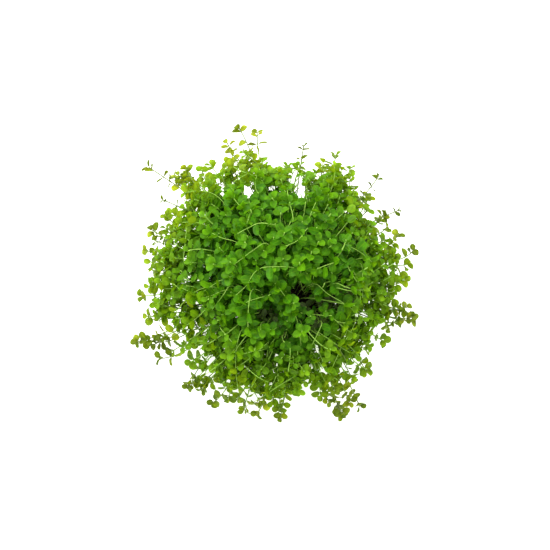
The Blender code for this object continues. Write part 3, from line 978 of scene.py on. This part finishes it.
def leaf_material(name, dullness):
    """Green leaves, each its own tone, paler when young, with a midrib, veins and light through them.

    Dullness is the share of a grey brown, for old leaves in the shade. Leaves are painted paler at the rim
    and on the sunny side, as painted light, and darker deep in the canopy, as painted shade.
    """
    made, tree, surface = new_material(name, (0.10, 0.27, 0.015), Specular_IOR_Level=0.15)
    along, across, outward = attribute(tree, "place")
    chance, youth, shade = attribute(tree, "tone")
    inner = ramp(tree, chance, INNER_GREENS)
    outer = ramp(tree, chance, OUTER_GREENS)
    olive = ramp(tree, chance, OLIVE_GREENS)
    # Painted light and shade: towards the rim leaves take the paler outer greens, in the middle the darker
    # inner ones.
    grown_rim_lit = mixed(tree, ranged(tree, outward, From_Min=0.55, From_Max=0.95), inner, outer)
    colour = tinted(tree, grown_rim_lit, youth, 0.6, YOUNG_LEAF)
    colour = tinted(tree, colour, ranged(tree, outward, From_Min=0.88, From_Max=1.04), 0.85, olive)
    # Painted shade: leaves deep under the canopy, and shoots given a shade, are tinted darker.
    colour = tinted(tree, colour, shade, 0.6, SHADED_LEAF)
    if dullness:
        colour = mixed(tree, dullness, colour, OLD_LEAF)
    mottle = grain(tree, Scale=340.0, Detail=3.0)["Fac"]
    spots = maths(tree, "MULTIPLY_ADD", mottle, 1.5)
    spots.node.inputs[2].default_value = 0.10
    spots = maths(tree, "MULTIPLY", spots, maths(tree, "ADD", 0.85, maths(tree, "MULTIPLY", along, 0.3)))
    bright = tree.nodes.new("ShaderNodeCombineColor")
    for socket in bright.inputs[:3]:
        tree.links.new(spots, socket)
    colour = mixed(tree, 1.0, colour, bright.outputs[0], "MULTIPLY")
    side = maths(tree, "ABSOLUTE", across)
    rib = maths(tree, "SUBTRACT", 1.0, maths(tree, "DIVIDE", side, 0.14), clamp=True)
    slant = maths(tree, "SUBTRACT", maths(tree, "MULTIPLY", along, 5.0), maths(tree, "MULTIPLY", side, 1.6))
    wave = maths(tree, "ABSOLUTE", maths(tree, "SUBTRACT", maths(tree, "FRACT", slant), 0.5))
    vein = maths(tree, "SUBTRACT", 1.0, maths(tree, "DIVIDE", wave, 0.10), clamp=True)
    vein = maths(tree, "MULTIPLY", vein, maths(tree, "SUBTRACT", 1.0, side, clamp=True))
    lines = maths(tree, "MAXIMUM", rib, maths(tree, "MULTIPLY", vein, 0.4))
    margin = ranged(tree, side, From_Min=0.72, From_Max=1.0)
    lines = maths(tree, "MAXIMUM", lines, maths(tree, "MULTIPLY", margin, 0.5))
    colour = tinted(tree, colour, lines, 0.36, LEAF_LINES)
    tree.links.new(colour, surface.inputs["Base Color"])
    tree.links.new(ranged(tree, mottle, To_Min=0.34, To_Max=0.58), surface.inputs["Roughness"])
    relief = maths(tree, "SUBTRACT", maths(tree, "MULTIPLY", mottle, 0.6), lines)
    emboss(tree, surface, relief, 0.35, 0.0001)
    through = tree.nodes.new("ShaderNodeBsdfTranslucent")
    glow = mixed(tree, 1.0, colour, LEAF_GLOW, "MULTIPLY")
    tree.links.new(glow, through.inputs["Color"])
    mix = tree.nodes.new("ShaderNodeMixShader")
    mix.inputs[0].default_value = 0.42
    tree.links.new(surface.outputs[0], mix.inputs[1])
    tree.links.new(through.outputs[0], mix.inputs[2])
    tree.links.new(mix.outputs[0], tree.nodes["Material Output"].inputs["Surface"])
    return made


def stem_material():
    """Pale watery stems with fine streaks, darker at the foot, and browner at the rim and where asked."""
    values = dict(Roughness=0.45, Specular_IOR_Level=0.2)
    made, tree, surface = new_material("stem", (0.28, 0.37, 0.10), **values)
    along, _, outward = attribute(tree, "place")
    chance, _, brown = attribute(tree, "tone")
    rim = ranged(tree, outward, From_Min=0.88, From_Max=1.05)
    colour = ramp(tree, along, STEM_GREENS)
    colour = mixed(tree, maths(tree, "MAXIMUM", rim, brown), colour, BROWN_STEM)
    colour = tinted(tree, colour, chance, 0.12, DULL_STEM)
    streak = grain(tree, Scale=900.0, Detail=2.0)["Fac"]
    colour = tinted(tree, colour, streak, 0.15, STEM_STREAKS)
    tree.links.new(colour, surface.inputs["Base Color"])
    emboss(tree, surface, streak, 0.25, 0.00008)
    return made


def medium_material():
    """Moist growing medium: black and dark brown grain with a few paler specks."""
    made, tree, surface = new_material("medium", (0.022, 0.014, 0.009), Specular_IOR_Level=0.2)
    crumbs = grain(tree, Scale=420.0, Detail=6.0, Roughness=0.7)["Fac"]
    colour = ramp(tree, crumbs, MEDIUM_BROWNS)
    speck = maths(tree, "LESS_THAN", grain(tree, "ShaderNodeTexVoronoi", Scale=1300.0)["Distance"], 0.12)
    colour = tinted(tree, colour, speck, 0.5, MEDIUM_SPECKS)
    tree.links.new(colour, surface.inputs["Base Color"])
    tree.links.new(ranged(tree, crumbs, To_Min=0.75, To_Max=1.0), surface.inputs["Roughness"])
    emboss(tree, surface, crumbs, 0.9, 0.0008)
    return made


def root_material():
    """Fine pale roots, stained by the medium."""
    made, tree, surface = new_material("root", (0.42, 0.35, 0.24), Roughness=0.6)
    stain = grain(tree, Scale=260.0, Detail=3.0)["Fac"]
    tree.links.new(ramp(tree, stain, ROOT_BROWNS), surface.inputs["Base Color"])
    return made


def bumps(point, kinds):
    """How far the plug's surface is pushed out at a point."""
    return sum(size * noise.noise(point / pitch) for size, pitch in kinds)


def plug_profile(rings, top_rings):
    """Radius and height of each ring of points, up the plug's side and then inwards over its top."""
    profile = []
    for i in range(rings + 1):
        share = i / rings
        height = PLUG_HEIGHT * share
        radius = PLUG_BASE_RADIUS + (PLUG_TOP_RADIUS - PLUG_BASE_RADIUS) * share
        worn = max(0.0, 1 - share * rings / 3) ** 2 + max(0.0, 1 - (1 - share) * rings / 4) ** 2
        profile.append((radius - 1.6 * MM * worn, height))
    for i in range(1, top_rings + 1):
        profile.append((profile[rings][0] * (1 - i / top_rings), PLUG_HEIGHT))
    return profile


def medium_piece(material):
    """The plug with its crumbly surface: rings of points pushed in and out, flat where it stands."""
    rings, sides = 46, 120
    points, faces = [], []
    profile = plug_profile(rings, top_rings=34)
    for index, (radius, height) in enumerate(profile[:-1]):
        for k in range(sides):
            bearing = 2 * math.pi * k / sides
            p = turned(bearing, radius, height)
            push = bumps(p, BUMPS)
            if index <= rings:
                points.append(turned(bearing, radius + push * min(1.0, index / 2), height))
            else:
                inward = 1 - radius / profile[rings][0]
                lift = (push * 1.1 - 0.2 * MM) * min(1.0, 0.3 + 3 * inward)
                points.append(turned(bearing, radius, height + lift))
    middle = len(points)
    points.append(Vector((0, 0, PLUG_HEIGHT)))
    under = len(points)
    points.append(Vector((0, 0, 0)))
    levels = len(profile) - 1
    for i in range(levels - 1):
        for k in range(sides):
            after = (k + 1) % sides
            faces.append((i * sides + k, i * sides + after, (i + 1) * sides + after, (i + 1) * sides + k))
    for k in range(sides):
        after = (k + 1) % sides
        faces.append(((levels - 1) * sides + k, (levels - 1) * sides + after, middle))
        faces.append((after, k, under))
    return add_piece("growing_medium_crumbly", points, faces, material)


def crumbs_piece(material):
    """Loose crumbs and bits of fibre on the plug's top."""
    draw = random.Random(SEED + 4)
    points, faces = [], []
    waist = ((0.94, 0, 0.1), (0.3, 0.9, 0.15), (-0.8, 0.5, 0.1), (-0.75, -0.6, 0.2), (0.35, -0.9, 0.05))
    solid = ((0, 0, 1), *waist, (0, 0, -0.8))
    upper = [(0, k, k % 5 + 1) for k in range(1, 6)]
    lower = [(6, k % 5 + 1, k) for k in range(1, 6)]
    for _ in range(CRUMBS):
        bearing, radius = draw.uniform(0, 2 * math.pi), 26.5 * MM * math.sqrt(draw.random())
        size = draw.uniform(0.25, 0.95) * MM
        long = draw.choice((1.0, 1.0, 1.4, 2.6))
        turn = draw.uniform(0, math.pi)
        centre = turned(bearing, radius, PLUG_HEIGHT + size * draw.uniform(-0.1, 0.45))
        start = len(points)
        for x, y, z in solid:
            x, y, z = (c + draw.uniform(-0.2, 0.2) for c in (x, y, z))
            x, y = x * long, y / math.sqrt(long)
            across, over = math.cos(turn), math.sin(turn)
            offset = Vector((x * across - y * over, x * over + y * across, z * 0.7))
            points.append(centre + offset * size)
        faces += [tuple(start + i for i in face) for face in upper + lower]
    return add_piece("medium_crumbs", points, faces, material, smooth=False)


def roots_piece(material):
    """Fine roots that wander over the plug's side."""
    draw = random.Random(SEED + 5)
    roots = Foliage()
    for _ in range(ROOTS):
        bearing, height = draw.uniform(0, 2 * math.pi), draw.uniform(4, 33) * MM
        heading = draw.choice((-1, 1)) * draw.uniform(0.25, 1.5)
        centres = []
        radius_out = draw.uniform(0.05, 0.35) * MM
        for _ in range(draw.randint(10, 26)):
            wall = PLUG_BASE_RADIUS + (PLUG_TOP_RADIUS - PLUG_BASE_RADIUS) * height / PLUG_HEIGHT
            p = turned(bearing, wall, height)
            centres.append(tuple(turned(bearing, wall + bumps(p, BUMPS[:2]) + radius_out, height)))
            heading += draw.gauss(0, 0.28)
            bearing += 1.1 * MM * math.cos(heading) / wall
            height += 1.1 * MM * math.sin(heading) * 0.8
            if not 1.5 * MM < height < 34.5 * MM:
                break
        if len(centres) < 5:
            continue
        centres = np.array(centres)
        thick = draw.uniform(0.10, 0.20) * MM
        roots.add_stem(centres, np.linspace(thick, thick * 0.5, len(centres)), (draw.random(), 0.0, 0.0))
    return add_piece("roots", np.vstack(roots.points).tolist(), roots.faces(), material)


def finish_piece(piece, slot, *nodes):
    if nodes:
        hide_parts(*nodes)
    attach(piece, "root")


def course_round_openings(base, tip, lift, rise, sway, draw):
    """A stem's line with up to this much sway, and with more where the line would cross a large opening."""
    course = course_of(base, tip, lift, rise, draw.uniform(-sway, sway))
    for _ in range(6):
        if not any(is_before(spot, LARGE_OPENINGS, 0) for spot in course):
            break
        course = course_of(base, tip, lift, rise, draw.uniform(-2.5, 2.5) * sway)
    return course


def packed_shoots(leaf, stem):
    """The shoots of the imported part, each on its solid's line, with side shoots on most trailing ones."""
    for name, course in grow_courses():
        draw = random.Random(name)
        foliage = Foliage()
        rooted = [course[0] - UP * 2.0 * MM] + course
        crown = name.startswith("crown")
        line = Line(course)
        turn = CROWN_TURN if crown else OUTER_TURN
        if name in LONE_SHOOTS:
            size, most, close, tone = LONE_SHOOTS[name]
            alone = dict(most=most, close=close, tone=tone, brown=1.0)
            dress(foliage, rooted, draw, size=size, radius=1.05, turn=turn, **alone)
        else:
            size = 1.0 if crown else 1.1
            dress(foliage, rooted, draw, size=size, turn=turn, bare=9 * MM, keep_open=KEPT_OPEN, spared=3)
        if not crown and name not in LONE_SHOOTS:
            for _ in range(draw.choice((0, 1, 1, 2))):
                place = line.length - draw.uniform(12, 34) * MM
                if place > 15 * MM:
                    side = side_course(line, place, draw, draw.uniform(7, 15) * MM)
                    dress(foliage, side, draw, size=0.85, radius=0.75, most=4)
        piece = foliage.build(name + "_leafy", (leaf, stem))
        finish_piece(piece, "foliage", name)


def outline_sprigs(leaf, stem):
    """The side shoots that show at the outline."""
    sprigs = Foliage()
    for px, py in OUTLINE_SPRIGS:
        draw = random.Random(f"sprig {px} {py}")
        tip = seen_at(px, py, 0.0)
        bearing = math.atan2(tip.y, tip.x) + draw.uniform(-0.15, 0.15)
        base = turned(bearing, draw.uniform(14, 24) * MM, STEM_FOOT)
        lift, rise = math.radians(draw.uniform(0, 60)), math.radians(draw.uniform(50, 72))
        course = course_round_openings(base, tip, lift, rise, 0.4, draw)
        where = dict(bare=12 * MM, most=4, keep_open=KEPT_OPEN, spared=2)
        dress(sprigs, course, draw, radius=0.95, turn=OUTER_TURN, brown=0.7, **where)
    finish_piece(sprigs.build("outline_sprigs", (leaf, stem)), "foliage")


def long_stems(leaf, stem):
    """The stems that lie over the canopy."""
    runners = Foliage()
    for number, course in enumerate(runner_courses(random.Random("runners"))):
        draw = random.Random(f"runner {number}")
        radius = draw.uniform(0.4, 0.62)
        dress(runners, course, draw, radius=radius, bare=16 * MM, most=5, keep_open=KEPT_OPEN, spared=1)
    finish_piece(runners.build("runners", (leaf, stem)), "foliage")


def undergrowth(leaf, stem):
    """The shoots between the others, in sectors round the plug's axis."""
    groups = {}
    for number, (tip, lift, share) in enumerate(undergrowth_tips(random.Random("undergrowth"))):
        if over_bare_patch(tip, 4) or beyond_body(tip):
            continue
        draw = random.Random(f"undergrowth {number}")
        bearing = math.atan2(tip.y, tip.x) + draw.gauss(0, 0.25)
        radius = max(1.0, min(25.5, 3 + 22 * share + draw.uniform(-4, 5))) * MM
        base = turned(bearing, radius, STEM_FOOT)
        rise = math.radians(draw.uniform(50, 82) - 14 * share)
        course = course_round_openings(base, tip, lift, rise, 0.45, draw)
        sector = int((math.atan2(tip.y, tip.x) / math.pi + 1) * SECTORS / 2) % SECTORS
        foliage = groups.setdefault(sector, Foliage())
        size = draw.uniform(0.62 + 0.16 * min(1.0, share / 0.8), 1.12)
        open_here = KEPT_OPEN + (beyond_body,)
        close = 0.74 + 0.25 * max(0.0, share - 0.65)
        where = dict(bare=8 * MM, most=8, close=close, keep_open=open_here)
        dress(foliage, course, draw, size=size, radius=0.8, **where)
    for sector, foliage in sorted(groups.items()):
        finish_piece(foliage.build(f"undergrowth_{sector + 1}", (leaf, stem)), "foliage")


def patch_course(tip, draw):
    """The line of a shoot that stands nearly upright on the plug's top under its tip."""
    base = tip.to_2d() * 0.8 + Vector((draw.gauss(0, 3), draw.gauss(1, 3))) * MM
    if base.length > PLUG_TOP_RADIUS - 4 * MM:
        base = base.normalized() * (PLUG_TOP_RADIUS - 4 * MM)
    base = base.to_3d() + UP * STEM_FOOT
    lift = math.radians(draw.uniform(55, 85))
    return course_of(base, tip, lift, math.radians(70), draw.uniform(-0.3, 0.3))


def patch_shoots(leaf, old_leaf, stem):
    """The shoots that stand over the bare patches, and the dull ones low on them."""
    draw = random.Random(SEED + 2)
    tall, low = Foliage(), Foliage()
    for px, py, rise, size, shade in PATCH_SHOOTS:
        course = patch_course(sight(px, py, PLUG_HEIGHT + rise * MM), draw)
        dress(tall, course, draw, size=size, radius=0.8, turn=PATCH_TURN, bare=6 * MM, most=3, shade=shade)
    finish_piece(tall.build("patch_shoots", (leaf, stem)), "foliage")
    for px, py, rise in DULL_SHOOTS:
        course = patch_course(sight(px, py, PLUG_HEIGHT + rise * MM), draw)
        # Painted shade on the low shoots' leaves.
        shade = draw.uniform(0.3, 0.8)
        dress(low, course, draw, size=0.85, radius=0.7, turn=PATCH_TURN, most=2, shade=shade)
    finish_piece(low.build("low_shoots", (old_leaf, stem)), "foliage")


def stage():
    """The pale floor, the studio light and the camera."""
    # The floor glows as painted light.
    values = dict(Roughness=0.9, Specular_IOR_Level=0.1, Emission_Color=FLOOR_GLOW, Emission_Strength=1.0)
    paint, _, _ = new_material("floor_paint", FLOOR_COLOUR, **values)
    corners = [(x * FLOOR_REACH, y * FLOOR_REACH, 0) for x, y in ((-1, -1), (1, -1), (1, 1), (-1, 1))]
    floor = add_piece("floor", corners, [(0, 1, 2, 3)], paint, smooth=False)
    scene = bpy.context.scene
    world = bpy.data.worlds.new("studio")
    world.use_nodes = True
    adjust(world.node_tree.nodes["Background"], Color=(1, 1, 1, 1), Strength=1.0)
    scene.world = world
    for name, place, size, power in LIGHTS:
        lamp = bpy.data.lights.new(name, "AREA")
        lamp.size = size
        lamp.energy = power
        made = add_object(name, lamp)
        made.location = place
        made.rotation_euler = (CAMERA_TARGET - Vector(place)).to_track_quat("-Z", "Y").to_euler()
    eye = bpy.data.cameras.new("camera")
    eye.sensor_width = CAMERA_SENSOR
    eye.lens = CAMERA_LENS
    eye.clip_start = 0.01
    camera = add_object("camera", eye)
    camera.location = EYE
    camera.rotation_euler = (-BACKWARD).to_track_quat("-Z", "Y").to_euler()
    scene.camera = camera
    scene.view_settings.view_transform = "Standard"


def main():
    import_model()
    stage()
    leaf = leaf_material("leaf", 0.0)
    old_leaf = leaf_material("old_leaf", 0.7)
    stem = stem_material()
    medium = medium_material()
    finish_piece(medium_piece(medium), "growing_medium", "growing_medium")
    finish_piece(crumbs_piece(medium), "growing_medium")
    finish_piece(roots_piece(root_material()), "growing_medium")
    packed_shoots(leaf, stem)
    outline_sprigs(leaf, stem)
    long_stems(leaf, stem)
    undergrowth(leaf, stem)
    patch_shoots(leaf, old_leaf, stem)


main()
